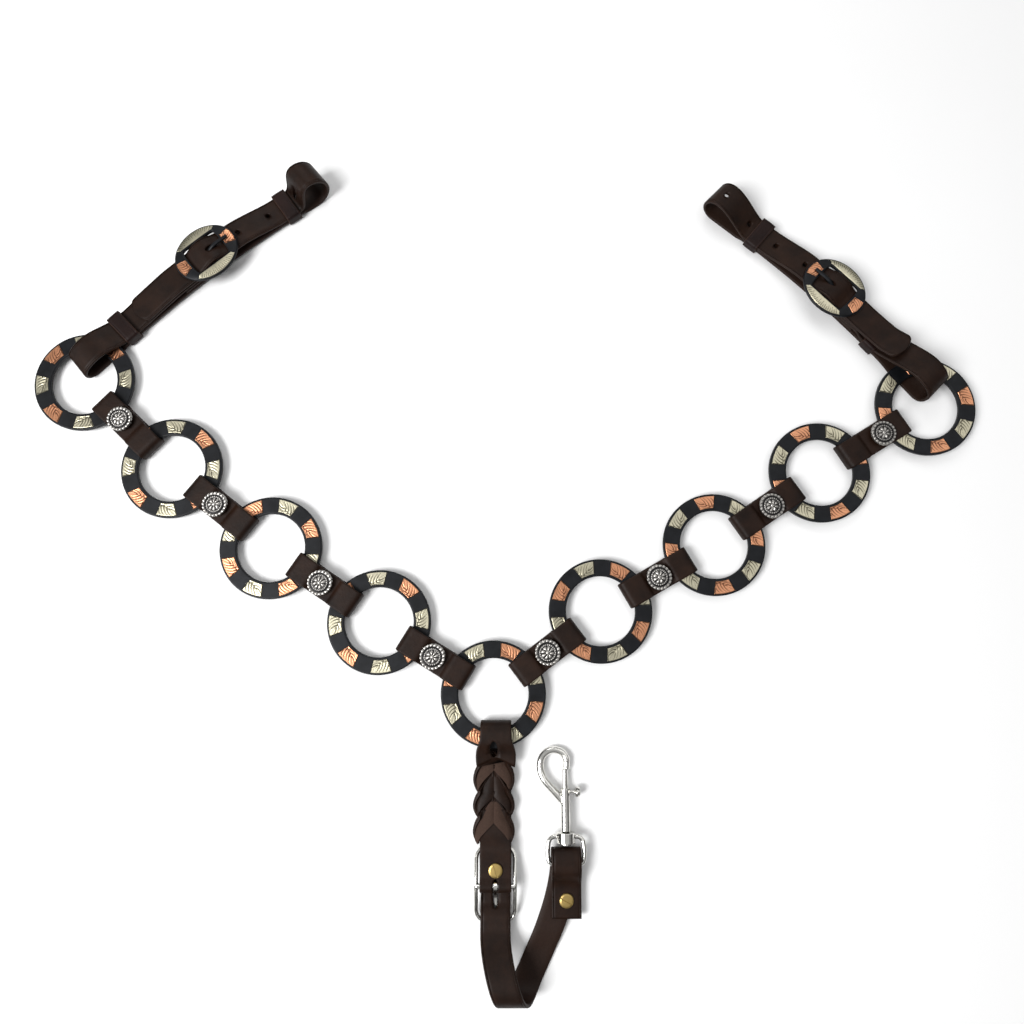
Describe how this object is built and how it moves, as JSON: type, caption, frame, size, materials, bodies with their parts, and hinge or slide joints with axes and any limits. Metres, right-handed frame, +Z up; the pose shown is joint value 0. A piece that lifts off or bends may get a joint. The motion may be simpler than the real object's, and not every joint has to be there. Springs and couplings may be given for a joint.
{
  "type": "ring breast collar",
  "caption": "V-shaped breast collar of flat overlaid rings joined by leather tabs with conchos, buckled saddle tugs and a braided centre drop ending in a swivel bolt snap.",
  "frame": {"origin": "bottom centre of the collar's box as it lies flat, face up", "axes": "+Z up out of the face, +X from the left tug to the right tug, +Y from the centre drop towards the saddle ends"},
  "size_m": [0.7224, 0.614, 0.0288],
  "materials": {
    "leather": "oiled, dark brown, light flesh edges",
    "black_steel": "blackened steel, satin",
    "antique_silver": "antiqued silver, dark in the recesses",
    "nickel": "bright nickel plate",
    "brass": "aged brass"
  },
  "bodies": {
    "centre_ring": {"centre_ring": "black_steel"},
    "left_tab_1": {"left_tab_1": "leather", "left_concho_1": "antique_silver", "left_concho_screw_1": "antique_silver"},
    "left_ring_1": {"left_ring_1": "black_steel"},
    "left_tab_2": {"left_tab_2": "leather", "left_concho_2": "antique_silver", "left_concho_screw_2": "antique_silver"},
    "left_ring_2": {"left_ring_2": "black_steel"},
    "left_tab_3": {"left_tab_3": "leather", "left_concho_3": "antique_silver", "left_concho_screw_3": "antique_silver"},
    "left_ring_3": {"left_ring_3": "black_steel"},
    "left_tab_4": {"left_tab_4": "leather", "left_concho_4": "antique_silver", "left_concho_screw_4": "antique_silver"},
    "left_ring_4": {"left_ring_4": "black_steel"},
    "left_tug": {"left_tug_strap": "leather", "left_tug_buckle": "black_steel", "left_tug_rivet": "nickel"},
    "left_tug_tongue": {"left_tug_tongue": "black_steel"},
    "left_ring_keeper": {"left_ring_keeper": "leather"},
    "left_saddle_keeper": {"left_saddle_keeper": "leather"},
    "right_tab_1": {"right_tab_1": "leather", "right_concho_1": "antique_silver", "right_concho_screw_1": "antique_silver"},
    "right_ring_1": {"right_ring_1": "black_steel"},
    "right_tab_2": {"right_tab_2": "leather", "right_concho_2": "antique_silver", "right_concho_screw_2": "antique_silver"},
    "right_ring_2": {"right_ring_2": "black_steel"},
    "right_tab_3": {"right_tab_3": "leather", "right_concho_3": "antique_silver", "right_concho_screw_3": "antique_silver"},
    "right_ring_3": {"right_ring_3": "black_steel"},
    "right_tab_4": {"right_tab_4": "leather", "right_concho_4": "antique_silver", "right_concho_screw_4": "antique_silver"},
    "right_ring_4": {"right_ring_4": "black_steel"},
    "right_tug": {"right_tug_strap": "leather", "right_tug_buckle": "black_steel", "right_tug_rivet": "nickel"},
    "right_tug_tongue": {"right_tug_tongue": "black_steel"},
    "right_ring_keeper": {"right_ring_keeper": "leather"},
    "right_saddle_keeper": {"right_saddle_keeper": "leather"},
    "drop": {"drop_strap": "leather", "drop_screw": "brass", "drop_screw_back": "brass"},
    "lower_strap": {"lower_strap": "leather", "drop_buckle": "nickel", "snap_fold_screw": "brass", "snap_fold_screw_back": "brass"},
    "drop_tongue": {"drop_tongue": "nickel"},
    "snap_eye": {"snap_eye": "nickel"},
    "snap_body": {"snap_body": "nickel", "snap_spring": "nickel"},
    "snap_bolt": {"snap_bolt": "nickel"}
  },
  "joints": [
    {"name": "left_tab_1_hinge", "type": "hinge", "parent": "centre_ring", "child": "left_tab_1", "pos_m": [-0.03436, -0.08571, 0.0055], "axis": [0.521, 0.8536, 0], "range_deg": [-9, 9]},
    {"name": "left_ring_1_turn", "type": "hinge", "parent": "left_tab_1", "child": "left_ring_1", "pos_m": [-0.09138, -0.0509, 0.0055], "axis": [0, 0, 1], "range_deg": [-20, 20]},
    {"name": "left_tab_2_hinge", "type": "hinge", "parent": "left_ring_1", "child": "left_tab_2", "pos_m": [-0.11784, -0.03326, 0.0055], "axis": [0.5548, 0.832, 0], "range_deg": [-9, 9]},
    {"name": "left_ring_2_turn", "type": "hinge", "parent": "left_tab_2", "child": "left_ring_2", "pos_m": [-0.17341, 0.0038, 0.0055], "axis": [0, 0, 1], "range_deg": [-20, 20]},
    {"name": "left_tab_3_hinge", "type": "hinge", "parent": "left_ring_2", "child": "left_tab_3", "pos_m": [-0.19854, 0.02329, 0.0055], "axis": [0.6129, 0.7902, 0], "range_deg": [-9, 9]},
    {"name": "left_ring_3_turn", "type": "hinge", "parent": "left_tab_3", "child": "left_ring_3", "pos_m": [-0.25132, 0.06424, 0.0055], "axis": [0, 0, 1], "range_deg": [-20, 20]},
    {"name": "left_tab_4_hinge", "type": "hinge", "parent": "left_ring_3", "child": "left_tab_4", "pos_m": [-0.27446, 0.08604, 0.0055], "axis": [0.6858, 0.7278, 0], "range_deg": [-9, 9]},
    {"name": "left_ring_4_turn", "type": "hinge", "parent": "left_tab_4", "child": "left_ring_4", "pos_m": [-0.32308, 0.13186, 0.0055], "axis": [0, 0, 1], "range_deg": [-20, 20]},
    {"name": "left_tug_hinge", "type": "hinge", "parent": "left_ring_4", "child": "left_tug", "pos_m": [-0.30928, 0.1593, 0.0055], "axis": [0.6468, -0.7627, 0], "range_deg": [-3, 9]},
    {"name": "left_tug_tongue_hinge", "type": "hinge", "parent": "left_tug", "child": "left_tug_tongue", "pos_m": [-0.23197, 0.23392, 0.0097], "axis": [0.6357, -0.772, 0], "range_deg": [0, 18]},
    {"name": "left_ring_keeper_slide", "type": "slide", "parent": "left_tug", "child": "left_ring_keeper", "axis": [0.7119, 0.7023, 0], "range_m": [0, 0.007]},
    {"name": "left_saddle_keeper_slide", "type": "slide", "parent": "left_tug", "child": "left_saddle_keeper", "axis": [0.8129, 0.5824, 0], "range_m": [-0.008, 0.0005]},
    {"name": "right_tab_1_hinge", "type": "hinge", "parent": "centre_ring", "child": "right_tab_1", "pos_m": [0.01814, -0.08309, 0.0055], "axis": [0.6032, -0.7976, 0], "range_deg": [-9, 9]},
    {"name": "right_ring_1_turn", "type": "hinge", "parent": "right_tab_1", "child": "right_ring_1", "pos_m": [0.07142, -0.0428, 0.0055], "axis": [0, 0, 1], "range_deg": [-20, 20]},
    {"name": "right_tab_2_hinge", "type": "hinge", "parent": "right_ring_1", "child": "right_tab_2", "pos_m": [0.09902, -0.027, 0.0055], "axis": [0.497, -0.8678, 0], "range_deg": [-9, 9]},
    {"name": "right_ring_2_turn", "type": "hinge", "parent": "right_tab_2", "child": "right_ring_2", "pos_m": [0.15698, 0.0062, 0.0055], "axis": [0, 0, 1], "range_deg": [-20, 20]},
    {"name": "right_tab_3_hinge", "type": "hinge", "parent": "right_ring_2", "child": "right_tab_3", "pos_m": [0.18341, 0.02389, 0.0055], "axis": [0.5563, -0.831, 0], "range_deg": [-9, 9]},
    {"name": "right_ring_3_turn", "type": "hinge", "parent": "right_tab_3", "child": "right_ring_3", "pos_m": [0.23892, 0.06105, 0.0055], "axis": [0, 0, 1], "range_deg": [-20, 20]},
    {"name": "right_tab_4_hinge", "type": "hinge", "parent": "right_ring_3", "child": "right_tab_4", "pos_m": [0.26606, 0.07762, 0.0055], "axis": [0.521, -0.8536, 0], "range_deg": [-9, 9]},
    {"name": "right_ring_4_turn", "type": "hinge", "parent": "right_tab_4", "child": "right_ring_4", "pos_m": [0.32308, 0.11242, 0.0055], "axis": [0, 0, 1], "range_deg": [-20, 20]},
    {"name": "right_tug_hinge", "type": "hinge", "parent": "right_ring_4", "child": "right_tug", "pos_m": [0.31137, 0.14082, 0.0055], "axis": [0.7022, 0.712, 0], "range_deg": [-2, 9]},
    {"name": "right_tug_tongue_hinge", "type": "hinge", "parent": "right_tug", "child": "right_tug_tongue", "pos_m": [0.25588, 0.20493, 0.0097], "axis": [0.7069, 0.7074, 0], "range_deg": [0, 18]},
    {"name": "right_ring_keeper_slide", "type": "slide", "parent": "right_tug", "child": "right_ring_keeper", "axis": [-0.6664, 0.7456, 0], "range_m": [0, 0.0045]},
    {"name": "right_saddle_keeper_slide", "type": "slide", "parent": "right_tug", "child": "right_saddle_keeper", "axis": [-0.7607, 0.6491, 0], "range_m": [-0.008, 0.0015]},
    {"name": "drop_hinge", "type": "hinge", "parent": "centre_ring", "child": "drop", "pos_m": [-0.00522, -0.13408, 0.0055], "axis": [-1, 0, 0], "range_deg": [-2.5, 10]},
    {"name": "drop_buckle_hinge", "type": "hinge", "parent": "drop", "child": "lower_strap", "pos_m": [-0.00522, -0.23228, 0.0089], "axis": [-1, 0, 0], "range_deg": [-1.2, 6]},
    {"name": "drop_tongue_hinge", "type": "hinge", "parent": "lower_strap", "child": "drop_tongue", "pos_m": [-0.00522, -0.23228, 0.0089], "axis": [-1, 0, 0], "range_deg": [-8, 0]},
    {"name": "snap_eye_hinge", "type": "hinge", "parent": "lower_strap", "child": "snap_eye", "pos_m": [0.04418, -0.21778, 0.0088], "axis": [1, 0, 0], "range_deg": [-25, 90]},
    {"name": "snap_swivel", "type": "hinge", "parent": "snap_eye", "child": "snap_body", "pos_m": [0.04418, -0.19694, 0.0072], "axis": [0, 0.9971, -0.0767], "continuous": true},
    {"name": "snap_bolt_slide", "type": "slide", "parent": "snap_body", "child": "snap_bolt", "axis": [0, -0.9971, 0.0767], "range_m": [0, 0.009], "stiffness_N_per_m": 400, "springref_m": -0.004, "deforming": ["snap_spring"]}
  ]
}
